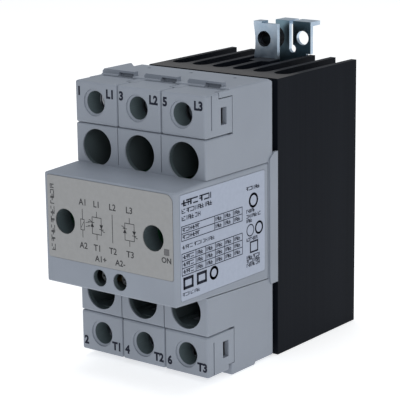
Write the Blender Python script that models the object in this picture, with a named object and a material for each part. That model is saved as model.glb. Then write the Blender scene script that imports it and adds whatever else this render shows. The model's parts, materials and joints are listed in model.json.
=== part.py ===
"""Three-pole solid state relay: terminal housing, control cover, finned heatsink and rail mount.

Design coordinates are millimetres: x across the poles, d the depth behind the front label, z the height.
Each shape is made in those coordinates and placed in metres, with the origin under the middle of the object.
"""
import math

import bpy
import bmesh
from mathutils import Vector

MM = 0.001
GAP = 0.3                      # clearance kept between neighbouring pieces
SEAM = 0.12                    # clearance at the seams that show: labels in their recesses, cover and caps on the housing
ROUND = 28                     # sides of an ordinary hole or rod

# Driving dimensions
POLE_PITCH = 18.0
POLES = (-POLE_PITCH, 0.0, POLE_PITCH)
HALF_WIDTH = 1.5 * POLE_PITCH
DEPTH = 106.4                  # label face to the back of the rail hooks
HEIGHT = 95.0                  # top of the housing
MID_Z = 48.4                   # the terminal rows mirror about this height
WALL = 2.0

# Housing
FACE_D = 16.1                  # terminal face
REAR_D = 52.0                  # rear rim of the housing
BODY_X = HALF_WIDTH - 0.2      # outer side of the housing
FLANK_X = HALF_WIDTH - 1.0     # inner side of the cover's flanks
CAP_TOP = HEIGHT - 0.5
CAP_JOINT = MID_Z + 32.2       # edge of the upper caps next to the housing
CAP_BACK_D = 28.2
TOWER_D = CAP_BACK_D + 0.7     # front of the housing wall behind the caps
ARM_END_D = 29.9
EAR_IN = 7.3                   # inner side of a housing ear, from its pole's middle
EAR_LOW_Z = 92.7
TUBE_END_D = 23.4              # inner end of a cap's driver tube, just ahead of the screw's head
BEHIND_CAP_D = 24.6            # start of the space behind the caps
BIG_HOLE_R = 6.1
BIG_HOLE_Z = MID_Z + 24.6
SMALL_HOLE_R = 3.8
SMALL_HOLE_Z = MID_Z + 39.3
FUNNEL_R = 4.5
UPPER_SCREW_DX = -0.7          # the upper screws sit this far off their poles' middles

# Control cover
COVER_D = 0.12                 # front face, just behind the label's face
COVER_Z = (30.1, 66.8)         # lower and upper edge at the front
COVER_ROOT_Z = (29.4, 67.5)    # the same edges at the terminal face, opened by the draft
FLANK_END_D = 49.2
KEY_HOLE_R = 4.2
KEY_HOLE_X = 18.3
KEY_HOLE_Z = 51.4
CONTROL_X = (-4.2, 4.2)
CONTROL_Z = 34.7
CONTROL_HOLE_R = 2.8
LAMP_X, LAMP_Z = 23.6, 47.7
LAMP_SIZE = 1.9

# Heatsink
SINK_D = 54.5                  # front of the base plate
BASE_T = 8.0
FIN_END_D = 102.0
FIN_T = 2.4
FIN_PITCH = (2 * HALF_WIDTH - FIN_T) / 6
SINK_TOP = 94.4
SHORT_FIN_D = 88.0             # the middle fin stops here, ahead of the rail bracket

# Rail mount, for a 35 mm top hat rail
RAIL_Z = MID_Z
RAIL_HALF = 17.5
PLATE_D = 100.0                # front of the bracket's rear plate
PLATE_T = 1.5
BRACKET_X = 7.1
BRACKET_TOP = 107.0
TAB_D = 88.3                   # front of the earth tab
TAB_HOLE_X, TAB_HOLE_Z = -2.65, 100.9
HOOK_END_D = DEPTH
LATCH_T = 1.4
LATCH_D = PLATE_D - GAP - LATCH_T
RIVET_Z = 36.0

# Terminals
BAR_D = 31.6
BAR_T = 2.0
PLATE_OPEN_D = 27.0            # front of a clamp plate with its screw backed out
CLAMP_T = 1.6
FIX_SCREW_R = 2.0


def clear_scene():
    """Remove everything that a new file holds."""
    for item in list(bpy.data.objects):
        bpy.data.objects.remove(item)


def mirrored(z):
    """The height of a feature's twin in the other terminal row."""
    return 2 * MID_Z - z


def screw_x(x, upper):
    """Where a pole's clamping screw and driver hole sit across the relay."""
    return x + UPPER_SCREW_DX if upper else x


# ---------------------------------------------------------------- materials

def material(name, colour, roughness, metallic=0.0):
    """A Principled material with one colour."""
    mat = bpy.data.materials.new(name)
    mat.use_nodes = True
    shader = mat.node_tree.nodes["Principled BSDF"]
    shader.inputs["Base Color"].default_value = (*colour, 1.0)
    shader.inputs["Roughness"].default_value = roughness
    shader.inputs["Metallic"].default_value = metallic
    mat.diffuse_color = (*colour, 1.0)
    return mat


def make_materials():
    """All of the object's materials by name."""
    table = {
        "housing_plastic": ((0.26, 0.29, 0.32), 0.55, 0.0),
        "cover_plastic": ((0.24, 0.27, 0.31), 0.55, 0.0),
        "black_aluminium": ((0.012, 0.014, 0.018), 0.45, 0.6),
        "zinc_steel": ((0.55, 0.62, 0.70), 0.32, 1.0),
        "spring_steel": ((0.45, 0.46, 0.48), 0.35, 1.0),
        "tinned_copper": ((0.62, 0.60, 0.57), 0.35, 1.0),
        "terminal_steel": ((0.50, 0.52, 0.55), 0.40, 1.0),
        "brass": ((0.66, 0.50, 0.24), 0.35, 1.0),
        "black_steel": ((0.02, 0.02, 0.022), 0.5, 0.8),
        "gasket_black": ((0.02, 0.02, 0.022), 0.7, 0.0),
        "label_grey": ((0.29, 0.29, 0.28), 0.5, 0.0),
        "label_silver": ((0.34, 0.39, 0.49), 0.45, 0.0),
        "lamp_lens": ((0.16, 0.16, 0.17), 0.25, 0.0),
        "board_green": ((0.02, 0.14, 0.06), 0.5, 0.0),
        "epoxy_black": ((0.025, 0.025, 0.028), 0.45, 0.0),
        "varistor_blue": ((0.03, 0.10, 0.35), 0.4, 0.0),
        "module_white": ((0.60, 0.60, 0.57), 0.5, 0.0),
    }
    return {name: material(name, *values) for name, values in table.items()}


# ---------------------------------------------------------------- shapes

def placed(x, d, z):
    """Design millimetres to metres in the object's own frame."""
    return Vector((x * MM, (d - DEPTH / 2) * MM, z * MM))


def block(low, high):
    """A box between two design corners (x, d, z)."""
    bm = bmesh.new()
    corners = [(x, d, z) for x in (low[0], high[0]) for d in (low[1], high[1]) for z in (low[2], high[2])]
    verts = [bm.verts.new(placed(*corner)) for corner in corners]
    for face in ((0, 1, 3, 2), (4, 6, 7, 5), (0, 4, 5, 1), (2, 3, 7, 6), (0, 2, 6, 4), (1, 5, 7, 3)):
        bm.faces.new([verts[i] for i in face])
    bmesh.ops.recalc_face_normals(bm, faces=bm.faces)
    return bm


def prism(outline, axis, low, high):
    """An outline extruded along x (points are d, z), d (points are x, z) or z (points are x, d)."""
    bm = bmesh.new()
    order = {"x": lambda u, v, w: (w, u, v), "d": lambda u, v, w: (u, w, v), "z": lambda u, v, w: (u, v, w)}[axis]
    ends = [[bm.verts.new(placed(*order(u, v, level))) for u, v in outline] for level in (low, high)]
    bm.faces.new(ends[0])
    bm.faces.new(ends[1])
    count = len(outline)
    for i in range(count):
        j = (i + 1) % count
        bm.faces.new((ends[0][i], ends[0][j], ends[1][j], ends[1][i]))
    bmesh.ops.recalc_face_normals(bm, faces=bm.faces)
    return bm


def turned(axis, centre, profile, sides=ROUND):
    """A solid turned about an axis: profile is (place along the axis, radius), from one end to the other."""
    bm = bmesh.new()
    order = {"x": lambda a, u, v: (a, u, v), "d": lambda a, u, v: (u, a, v), "z": lambda a, u, v: (u, v, a)}[axis]
    rings = []
    for along, radius in profile:
        ring = []
        for k in range(sides):
            angle = 2 * math.pi * (k + 0.5) / sides
            u = centre[0] + radius * math.cos(angle)
            v = centre[1] + radius * math.sin(angle)
            ring.append(bm.verts.new(placed(*order(along, u, v))))
        rings.append(ring)
    for lower, upper in zip(rings, rings[1:]):
        for k in range(sides):
            j = (k + 1) % sides
            bm.faces.new((lower[k], lower[j], upper[j], upper[k]))
    bm.faces.new(rings[0])
    bm.faces.new(rings[-1])
    bmesh.ops.recalc_face_normals(bm, faces=bm.faces)
    return bm


def rod(axis, centre, low, high, radius, sides=ROUND):
    """A plain cylinder along an axis."""
    return turned(axis, centre, [(low, radius), (high, radius)], sides)


def rounded_outline(low, high, radii, steps=5):
    """A rectangle's outline with a radius for each corner, from low-low counter-clockwise."""
    corners = ((low[0], low[1], 180), (high[0], low[1], 270), (high[0], high[1], 0), (low[0], high[1], 90))
    points = []
    for (u, v, start), radius in zip(corners, radii):
        cu = u + radius if u == low[0] else u - radius
        cv = v + radius if v == low[1] else v - radius
        for k in range(steps + 1):
            angle = math.radians(start + 90 * k / steps)
            points.append((cu + radius * math.cos(angle), cv + radius * math.sin(angle)))
    return points


def joined(shapes):
    """Several separate shapes as one mesh, for cutting or adding together."""
    whole = bmesh.new()
    for shape in shapes:
        mesh = bpy.data.meshes.new("part")
        shape.to_mesh(mesh)
        shape.free()
        whole.from_mesh(mesh)
        bpy.data.meshes.remove(mesh)
    return whole


def new_object(name, shape, mat, origin=(0.0, DEPTH / 2, 0.0)):
    """A named object whose own origin is at a design point."""
    centre = placed(*origin)
    bmesh.ops.translate(shape, verts=shape.verts, vec=-centre)
    mesh = bpy.data.meshes.new(name)
    shape.to_mesh(mesh)
    shape.free()
    obj = bpy.data.objects.new(name, mesh)
    obj.location = centre
    obj.data.materials.append(mat)
    bpy.context.collection.objects.link(obj)
    return obj


def apply_modifiers(obj):
    """Replace an object's mesh by the one that its modifiers make."""
    bpy.context.view_layer.update()
    graph = bpy.context.evaluated_depsgraph_get()
    mesh = bpy.data.meshes.new_from_object(obj.evaluated_get(graph))
    old = obj.data
    obj.modifiers.clear()
    obj.data = mesh
    bpy.data.meshes.remove(old)


def combine(obj, shapes, operation):
    """Cut the shapes out of an object, or join them to it."""
    tool = new_object(obj.name + "_tool", joined(shapes), obj.data.materials[0])
    tool.hide_render = True
    tool.display_type = "WIRE"
    change = obj.modifiers.new("combine", "BOOLEAN")
    change.operation = operation
    change.object = tool
    apply_modifiers(obj)
    bpy.data.objects.remove(tool)


def cut(obj, shapes):
    combine(obj, shapes, "DIFFERENCE")


def add(obj, shapes):
    combine(obj, shapes, "UNION")


def bevel(obj, width, segments=2, angle=50.0):
    """Round an object's sharp edges."""
    change = obj.modifiers.new("bevel", "BEVEL")
    change.width = width * MM
    change.segments = segments
    change.limit_method = "ANGLE"
    change.angle_limit = math.radians(angle)
    apply_modifiers(obj)


def smooth(obj, angle=35.0):
    """Shade round surfaces smooth and keep the sharp edges."""
    obj.data.shade_smooth()
    obj.data.set_sharp_from_angle(angle=math.radians(angle))


# ---------------------------------------------------------------- housing and caps

def in_both_rows(low, high):
    """A block in the upper terminal row and its twin in the lower row."""
    twin_low = (low[0], low[1], mirrored(high[2]))
    twin_high = (high[0], high[1], mirrored(low[2]))
    return [block(low, high), block(twin_low, twin_high)]


def main_housing(mats):
    """The moulded body: terminal towers in two rows, hollow and open towards the heatsink."""
    cap_edge = CAP_JOINT - SEAM
    foot_end_d = 41.4
    outer = [(TOWER_D, 0.0), (foot_end_d, 0.0), (foot_end_d + 0.8, 0.8), (REAR_D, 0.8),
             (REAR_D, HEIGHT - 0.9), (REAR_D - 2.2, HEIGHT), (TOWER_D, HEIGHT), (TOWER_D, cap_edge), (FACE_D, cap_edge), (FACE_D, mirrored(cap_edge)),
             (TOWER_D, mirrored(cap_edge))]
    obj = new_object("main_housing", prism(outer, "x", -BODY_X, BODY_X), mats["housing_plastic"])
    bevel(obj, 0.5)

    inner_x = BODY_X - 2.6
    front_d = FACE_D + WALL
    tower_inner_d = TOWER_D + 2.2
    roof_z = HEIGHT - 1.8
    shelf_z = cap_edge - 1.8
    cavity = [(REAR_D + 2, 2.6), (REAR_D + 2, roof_z), (tower_inner_d, roof_z), (tower_inner_d, shelf_z),
              (front_d, shelf_z), (front_d, mirrored(shelf_z)), (tower_inner_d, mirrored(shelf_z)),
              (tower_inner_d, 2.6)]
    cut(obj, [prism(cavity, "x", -inner_x, inner_x)])

    bury = 0.4                 # how far an added piece runs into the wall it grows from
    adders = []
    rib_end_d = 36.8
    rib = [(front_d - bury, MID_Z + 16.0), (rib_end_d, MID_Z + 16.0), (rib_end_d, roof_z + bury),
           (tower_inner_d - bury, roof_z + bury), (tower_inner_d - bury, shelf_z + bury),
           (front_d - bury, shelf_z + bury)]
    for side in (-1, 1):
        rib_x = side * POLE_PITCH / 2
        for profile in (rib, [(d, mirrored(z)) for d, z in rib]):
            adders.append(prism(profile, "x", rib_x - 0.8, rib_x + 0.8))
        adders.append(rod("d", (side * KEY_HOLE_X, KEY_HOLE_Z), front_d - bury, REAR_D - 0.3, 4.6))
    add(obj, adders)

    hood_top = HEIGHT + 1.45
    raised = []
    for x in POLES:
        plan = [(x - 8.6, 29.6), (x + 5.2, 29.6), (x + 5.2, 31.5), (x - 7.2, 43.0), (x - 8.6, 43.0)]
        raised.append(prism(plan, "z", HEIGHT - bury, hood_top))
    ears = [(-BODY_X, -POLE_PITCH - EAR_IN), (-POLE_PITCH + EAR_IN, -EAR_IN), (EAR_IN, POLE_PITCH - EAR_IN),
            (POLE_PITCH + EAR_IN, BODY_X)]
    for low_x, high_x in ears:
        raised.append(block((low_x, 23.3, EAR_LOW_Z), (high_x, TOWER_D + bury, CAP_TOP - 0.02)))
    strip = [(49.8, 27.2), (50.4, 26.0), (SINK_D - GAP, 26.0), (SINK_D - GAP, 70.6), (52.4, 70.6), (49.8, 68.6)]
    for side in (-1, 1):
        ends = sorted((side * (BODY_X - bury), side * (HALF_WIDTH + 0.3)))
        raised.append(prism(strip, "x", *ends))
    add(obj, raised)

    cutters = []
    for x in POLES:
        cutters += in_both_rows((x - 6.3, BEHIND_CAP_D, shelf_z - 1.0),
                                (x + 6.3, tower_inner_d + 0.5, EAR_LOW_Z - 0.1))
        for z in (BIG_HOLE_Z, mirrored(BIG_HOLE_Z)):
            cutters.append(turned("d", (x, z), [(FACE_D - 1, BIG_HOLE_R), (front_d + 1, BIG_HOLE_R)], 36))
        cutters.append(block((x - 1.4, 28.0, HEIGHT - 0.6), (x + 4.9, 31.0, HEIGHT + 0.75)))
        cutters.append(prism([(x - 8.9, HEIGHT + 0.4), (x - 7.6, HEIGHT + 1.7), (x - 8.9, HEIGHT + 1.7)],
                             "d", 29.0, 44.0))
        cutters.append(rod("z", (x - 1.6, 45.4), HEIGHT - 0.7, HEIGHT + 1, 0.7, 10))
    slots = [(-HALF_WIDTH - 1, -HALF_WIDTH + 2.1), (-11.1, -6.9), (6.9, 11.1), (HALF_WIDTH - 2.1, HALF_WIDTH + 1)]
    for low_x, high_x in slots:
        cutters += in_both_rows((low_x, TOWER_D - 1, CAP_JOINT - 0.35), (high_x, ARM_END_D + 0.35, EAR_LOW_Z - 0.02))
    cut(obj, cutters)

    cutters = [block((-13.5, FACE_D - 1, 36.0), (13.5, front_d + 1, 61.0))]
    for side in (-1, 1):
        ends = sorted((side * (FLANK_X - SEAM), side * (HALF_WIDTH + 5)))
        flank = [(FACE_D - 1, COVER_ROOT_Z[0] - SEAM), (FLANK_END_D + SEAM, 28.0 - SEAM),
                 (FLANK_END_D + SEAM, COVER_ROOT_Z[1] + SEAM), (FACE_D - 1, COVER_ROOT_Z[1] + SEAM)]
        cutters.append(prism(flank, "x", *ends))
        cutters.append(rod("d", (side * KEY_HOLE_X, KEY_HOLE_Z), FACE_D - 1, REAR_D + 1, FIX_SCREW_R + 0.4, 20))
        groove_x = side * POLE_PITCH / 2
        cutters += in_both_rows((groove_x - 0.17, FACE_D - 1, COVER_ROOT_Z[1] + 0.6),
                                (groove_x + 0.17, FACE_D + 0.5, cap_edge + 1))
    cut(obj, cutters)
    smooth(obj)
    return obj


def terminal_cap(name, x, upper, mats):
    """A cap that snaps over one pole's clamping screw, with two side arms and a funnel and tube for the driver."""
    half = POLE_PITCH / 2 - 0.15
    inner = half - 1.65
    step_d = 22.9 if upper else 27.0
    level = (lambda z: z) if upper else mirrored

    def band(low, high):
        """A block given for the upper row, placed in this cap's row."""
        ends = sorted((level(low[2]), level(high[2])))
        return block((low[0], low[1], ends[0]), (high[0], high[1], ends[1]))

    hole_x, hole_z = screw_x(x, upper), level(SMALL_HOLE_Z)
    origin = (hole_x, FACE_D, hole_z)
    obj = new_object(name, band((x - half, FACE_D, CAP_JOINT), (x + half, CAP_BACK_D, CAP_TOP)),
                     mats["housing_plastic"], origin)
    bevel(obj, 0.7)
    add(obj, [band((x + low, FACE_D + 1.2, CAP_JOINT + 0.3), (x + high, ARM_END_D, EAR_LOW_Z - GAP))
              for low, high in ((-half + 0.01, -inner + 0.1), (inner - 0.1, half - 0.01))])
    cut(obj, [band((x - inner, FACE_D + WALL, CAP_JOINT - 1), (x + inner, ARM_END_D + 1, CAP_TOP - 1.6))])
    cut(obj, [band((x + low, step_d, EAR_LOW_Z - GAP - 0.01), (x + high, CAP_BACK_D + 1, CAP_TOP + 1))
              for low, high in ((-half - 1, GAP - EAR_IN), (EAR_IN - GAP, half + 1))])
    add(obj, [rod("d", (hole_x, hole_z), FACE_D + WALL - 0.4, TUBE_END_D, SMALL_HOLE_R + 1.0, 32)])
    cutters = [turned("d", (hole_x, hole_z), [(FACE_D - 0.5, FUNNEL_R + 0.1), (FACE_D + 0.55, FUNNEL_R - 0.05),
                                              (FACE_D + 0.85, SMALL_HOLE_R), (TUBE_END_D + 1, SMALL_HOLE_R)], 32)]
    for low, high in ((-half - 1, -half + 0.4), (half - 0.4, half + 1)):
        cutters.append(band((x + low, 19.0, 83.0), (x + high, 19.5, 94.0)))
    for low, high in ((-half - 1, -inner + 1), (inner - 1, half + 1)):
        cutters.append(band((x + low, 24.0, 84.0), (x + high, 27.0, 89.6)))
    cut(obj, cutters)
    smooth(obj)
    return obj


# ---------------------------------------------------------------- control cover and labels

def label_outline(grow):
    """The front label, or its recess when grown by the clearance."""
    return rounded_outline((-25.7 - grow, 38.7 - grow), (26.1 + grow, 66.1 + grow),
                           (0.8 + grow, 0.8 + grow, 2.6 + grow, 0.8 + grow))


def side_label_outline(grow):
    """The rating plate on the right flank, or its recess."""
    return rounded_outline((2.6 - grow, 31.6 - grow), (47.0 + grow, 65.6 + grow), [0.8 + grow] * 4)


def front_cover(mats):
    """The box for the control side, with two flanks that reach back along the housing."""
    profile = [(COVER_D, COVER_Z[0]), (FACE_D, COVER_ROOT_Z[0]), (FLANK_END_D, 28.0),
               (FLANK_END_D, COVER_ROOT_Z[1]), (FACE_D, COVER_ROOT_Z[1]), (COVER_D, COVER_Z[1])]
    obj = new_object("front_cover", prism(profile, "x", -HALF_WIDTH, HALF_WIDTH), mats["cover_plastic"])
    bevel(obj, 0.6)
    rim_d = FACE_D - SEAM
    cut(obj, [block((-FLANK_X, rim_d, 20.0), (FLANK_X, FLANK_END_D + 1, 75.0))])
    cut(obj, [block((-25.2, WALL, 32.0), (25.2, rim_d + 1, 65.0))])
    collars = [rod("d", (side * KEY_HOLE_X, KEY_HOLE_Z), WALL - 0.4, 7.4, KEY_HOLE_R + 1.2) for side in (-1, 1)]
    add(obj, collars)
    cutters = [prism(label_outline(SEAM), "d", -1.0, 0.6),
               prism(side_label_outline(SEAM), "x", HALF_WIDTH - 0.5, HALF_WIDTH + 1)]
    cut(obj, cutters)
    cutters = [rod("d", (side * KEY_HOLE_X, KEY_HOLE_Z), -1.0, 9.0, KEY_HOLE_R) for side in (-1, 1)]
    for x in CONTROL_X:
        cutters.append(rod("d", (x, CONTROL_Z), -1.0, WALL + 1, CONTROL_HOLE_R))
        cutters.append(block((x - 2.3, 10.8, 28.0), (x + 2.3, 15.2, 33.0)))
    lamp = LAMP_SIZE / 2 + GAP
    cut(obj, cutters)
    cut(obj, [block((LAMP_X - lamp, -1.0, LAMP_Z - lamp), (LAMP_X + lamp, 8.0, LAMP_Z + lamp))])
    smooth(obj)
    return obj


def labels(mats):
    """The front label with its two openings and lamp window, and the rating plate on the right flank."""
    front = new_object("front_label", prism(label_outline(0.0), "d", 0.0, 0.3), mats["label_grey"])
    cutters = [rod("d", (side * KEY_HOLE_X, KEY_HOLE_Z), -1.0, 1.0, KEY_HOLE_R) for side in (-1, 1)]
    lamp = LAMP_SIZE / 2 + 0.08
    cutters.append(block((LAMP_X - lamp, -1.0, LAMP_Z - lamp), (LAMP_X + lamp, 1.0, LAMP_Z + lamp)))
    cut(front, cutters)
    side_low = HALF_WIDTH - 0.2
    new_object("side_label", prism(side_label_outline(0.0), "x", side_low, HALF_WIDTH + 0.05), mats["label_silver"])


def lamp_lens(mats):
    """The square light guide in front of the lamp on the control board."""
    half = LAMP_SIZE / 2
    new_object("lamp_lens", block((LAMP_X - half, 0.02, LAMP_Z - half), (LAMP_X + half, 6.2, LAMP_Z + half)),
               mats["lamp_lens"], (LAMP_X, 0.02, LAMP_Z))


# ---------------------------------------------------------------- electronics

def boards(mats):
    """The control board behind the cover, the power board behind the terminals and the riser between them."""
    control_d = 8.0
    board_t = 1.6
    control = new_object("control_board", block((-24.6, control_d, 40.6), (24.6, control_d + board_t, 64.4)),
                         mats["board_green"])
    cut(control, [rod("d", (side * KEY_HOLE_X, KEY_HOLE_Z), 7.0, 11.0, 4.6, 20) for side in (-1, 1)])
    power = new_object("power_board", block((-23.6, 38.0, 20.0), (23.6, 39.6, 76.8)), mats["board_green"])
    cut(power, [rod("d", (side * KEY_HOLE_X, KEY_HOLE_Z), 37.0, 41.0, 5.1, 20) for side in (-1, 1)])
    new_object("riser_board", block((5.0, 9.9, 55.0), (13.0, 37.7, 56.6)), mats["board_green"])
    new_object("status_lamp", block((LAMP_X - 0.8, 6.5, LAMP_Z - 1.0), (LAMP_X + 0.8, 7.7, LAMP_Z + 1.0)),
               mats["module_white"])
    for label, x in (("l1", -11.5), ("l3", 11.5)):
        new_object("optocoupler_" + label, block((x - 3.2, 34.1, 35.6), (x + 3.2, 37.7, 44.4)), mats["epoxy_black"])
        disc = turned("d", (x * 1.45, 30.0), [(39.9, 6.4), (40.4, 7.0), (43.6, 7.0), (44.1, 6.4)], 20)
        new_object("varistor_" + label, disc, mats["varistor_blue"])


def power_modules(mats):
    """Two thyristor modules pressed on the heatsink, one for each switched pole."""
    for label, side in (("l1", -1), ("l3", 1)):
        ends = sorted((side * 0.7, side * 13.3))
        module = new_object("thyristor_module_" + label, block((ends[0], 47.6, 30.4), (ends[1], 52.0, 66.4)),
                            mats["epoxy_black"])
        bevel(module, 0.5, 1)
        new_object("ceramic_substrate_" + label,
                   block((ends[0] + 0.1, 52.3, 30.6), (ends[1] - 0.1, SINK_D - GAP, 66.2)), mats["module_white"])


def frame_gasket(mats):
    """The black frame between the housing's rim and the heatsink, with a window for the modules."""
    obj = new_object("frame_gasket", block((-24.4, REAR_D + GAP, 2.8), (24.4, SINK_D - GAP, 92.2)),
                     mats["gasket_black"])
    cutters = [block((-14.0, REAR_D - 1, 30.0), (14.0, SINK_D + 1, 66.8))]
    for side in (-1, 1):
        cutters.append(rod("d", (side * KEY_HOLE_X, KEY_HOLE_Z), REAR_D - 1, SINK_D + 1, FIX_SCREW_R + 0.4, 20))
    cut(obj, cutters)


# ---------------------------------------------------------------- terminals

def cross_recess(x, z, front_d, size, depth):
    """The two crossed slots of a screw's recess."""
    long, short = size, size * 0.24
    return [block((x - long, front_d - 1, z - short), (x + long, front_d + depth, z + short)),
            block((x - short, front_d - 1, z - long), (x + short, front_d + depth, z + long))]


def screw(name, x, z, front_d, head_r, head_t, shank_r, end_d, mat, sides=14):
    """A pan head screw along the depth, with its origin on its axis at the head."""
    profile = [(front_d, head_r * 0.7), (front_d + 0.7, head_r),
               (front_d + head_t, head_r), (front_d + head_t, shank_r), (end_d - 0.5, shank_r),
               (end_d, shank_r * 0.7)]
    obj = new_object(name, turned("d", (x, z), profile, sides), mat, (x, front_d, z))
    recess = cross_recess(x, z, front_d, head_r * 0.5, head_t * 0.55)
    cut(obj, recess[:1])
    cut(obj, recess[1:])
    smooth(obj)
    return obj


def power_terminal(label, x, upper, mats):
    """One clamping screw with its captive square plate, both free to move towards the bar."""
    z = SMALL_HOLE_Z if upper else mirrored(SMALL_HOLE_Z)
    low_z, high_z = (z - 5.0, z + 4.4) if upper else (z - 4.4, z + 5.0)
    hole_x = screw_x(x, upper)
    plate = new_object("clamp_plate_" + label,
                       block((x - 5.5, PLATE_OPEN_D, low_z), (x + 5.5, PLATE_OPEN_D + CLAMP_T, high_z)),
                       mats["terminal_steel"], (hole_x, PLATE_OPEN_D, z))
    cut(plate, [rod("d", (hole_x, z), PLATE_OPEN_D - 1, PLATE_OPEN_D + CLAMP_T + 1, 2.35, 20)])
    head_t = 2.9
    screw("clamp_screw_" + label, hole_x, z, PLATE_OPEN_D - GAP - head_t, 4.0, head_t, 2.0, 37.4,
          mats["terminal_steel"])


def bar_blank(x, low_z, high_z):
    """The upright plate of a terminal bar."""
    return block((x - 6.0, BAR_D, low_z), (x + 6.0, BAR_D + BAR_T, high_z))


def terminal_bar(name, x, upper, mats):
    """An angled bar with a thread under the clamping screw and a foot that reaches the power board."""
    level = (lambda z: z) if upper else mirrored
    ends = sorted((level(66.4), level(93.0)))
    obj = new_object(name, bar_blank(x, *ends), mats["tinned_copper"])
    hole_x, hole_z = screw_x(x, upper), level(SMALL_HOLE_Z)
    foot = sorted((level(66.4), level(68.2)))
    add(obj, [block((x - 4.0, BAR_D + BAR_T - 0.4, foot[0]), (x + 4.0, 37.7, foot[1])),
              block((hole_x - 3.5, BAR_D + BAR_T - 0.4, hole_z - 3.5),
                    (hole_x + 3.5, BAR_D + BAR_T + 2.6, hole_z + 3.5))])
    cut(obj, [rod("d", (hole_x, hole_z), BAR_D - 1, BAR_D + 8, 2.35, 20)])


def through_bar(mats):
    """The unswitched pole's bar, one piece from the upper to the lower terminal."""
    low_end, high_end = mirrored(93.0), 93.0
    neck = 2.6
    inner_low, inner_high = mirrored(66.4), 66.4
    outline = [(-6, low_end), (6, low_end), (6, inner_low), (neck, inner_low + 2), (neck, inner_high - 2),
               (6, inner_high), (6, high_end), (-6, high_end), (-6, inner_high), (-neck, inner_high - 2),
               (-neck, inner_low + 2), (-6, inner_low)]
    obj = new_object("terminal_bar_l2_t2", prism(outline, "d", BAR_D, BAR_D + BAR_T), mats["tinned_copper"])
    holes = ((screw_x(0.0, True), SMALL_HOLE_Z), (0.0, mirrored(SMALL_HOLE_Z)))
    add(obj, [block((x - 3.5, BAR_D + BAR_T - 0.4, z - 3.5), (x + 3.5, BAR_D + BAR_T + 2.6, z + 3.5))
              for x, z in holes])
    cut(obj, [rod("d", hole, BAR_D - 1, BAR_D + 8, 2.35, 20) for hole in holes])


def control_terminal(label, x, mats):
    """A small screw, the cage that rises on it and the fixed contact inside the cage."""
    screw("control_screw_" + label, x, CONTROL_Z, 3.2, 2.4, 1.7, 1.4, 11.0, mats["terminal_steel"])
    cage = new_object("control_cage_" + label, block((x - 3.3, 7.5, 32.4), (x + 3.3, 15.7, 38.0)),
                      mats["brass"], (x, 7.5, CONTROL_Z))
    cut(cage, [block((x - 2.4, 8.9, 31.0), (x + 2.4, 14.6, 39.0))])
    cut(cage, [rod("d", (x, CONTROL_Z), 6.5, 9.5, 1.75, 16)])
    contact = [(11.4, 33.0), (12.2, 33.0), (12.2, 39.4), (10.6, 40.2), (10.6, 45.0), (9.9, 45.0), (9.9, 39.6),
               (11.4, 38.8)]
    new_object("control_contact_" + label, prism(contact, "x", x - 1.9, x + 1.9), mats["brass"])


# ---------------------------------------------------------------- heatsink and rail mount

def sink_outline():
    """The extrusion's section: a base plate and seven fins whose gaps have round roots."""
    points = [(-HALF_WIDTH, SINK_D), (HALF_WIDTH, SINK_D)]
    centres = [k * FIN_PITCH for k in range(3, -4, -1)]
    half = FIN_T / 2
    tip = half * 0.86
    root = (FIN_PITCH - FIN_T) / 2
    root_d = SINK_D + BASE_T + root
    for index, x in enumerate(centres):
        short = abs(x) < 0.1
        if short:
            boss_d = SHORT_FIN_D - 7.0
            points += [(x + half, boss_d), (x + 4.2, boss_d + 0.8), (x + 4.2, SHORT_FIN_D),
                       (x - 4.2, SHORT_FIN_D), (x - 4.2, boss_d + 0.8), (x - half, boss_d)]
        else:
            points += [(x + tip, FIN_END_D), (x - tip, FIN_END_D)]
        if index < len(centres) - 1:
            middle = x - FIN_PITCH / 2
            steps = 8
            for k in range(steps + 1):
                angle = math.pi * k / steps
                points.append((middle + root * math.cos(angle), root_d - root * math.sin(angle)))
    return points


def heatsink(mats):
    """The black extrusion, drilled for the housing's and the bracket's screws."""
    obj = new_object("heatsink", prism(sink_outline(), "z", 0.0, SINK_TOP), mats["black_aluminium"])
    cutters = [rod("d", (side * KEY_HOLE_X, KEY_HOLE_Z), SINK_D - 1, SINK_D + 7.4, FIX_SCREW_R + 0.4, 20)
               for side in (-1, 1)]
    cutters += [rod("d", (0.0, z), SHORT_FIN_D - 6.4, SHORT_FIN_D + 1, FIX_SCREW_R + 0.4, 16) for z in (84.0, 8.0)]
    cut(obj, cutters)
    smooth(obj)


def tab_outline():
    """The earth tab's front view: a wide foot, then a narrower tab with a shallow waist on its outer edge."""
    top, foot_top = BRACKET_TOP, 92.6
    waist = []
    for k in range(7):
        t = k / 6
        waist.append((-BRACKET_X + 0.7 * math.sin(math.pi * t), top - 1.2 - t * (top - 2.4 - foot_top)))
    return [(-BRACKET_X, 74.2), (BRACKET_X, 74.2), (BRACKET_X, foot_top), (2.95, foot_top), (2.95, top - 0.6),
            (-3.6, top - 0.6), (-3.6, top), (-BRACKET_X, top)] + waist


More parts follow.
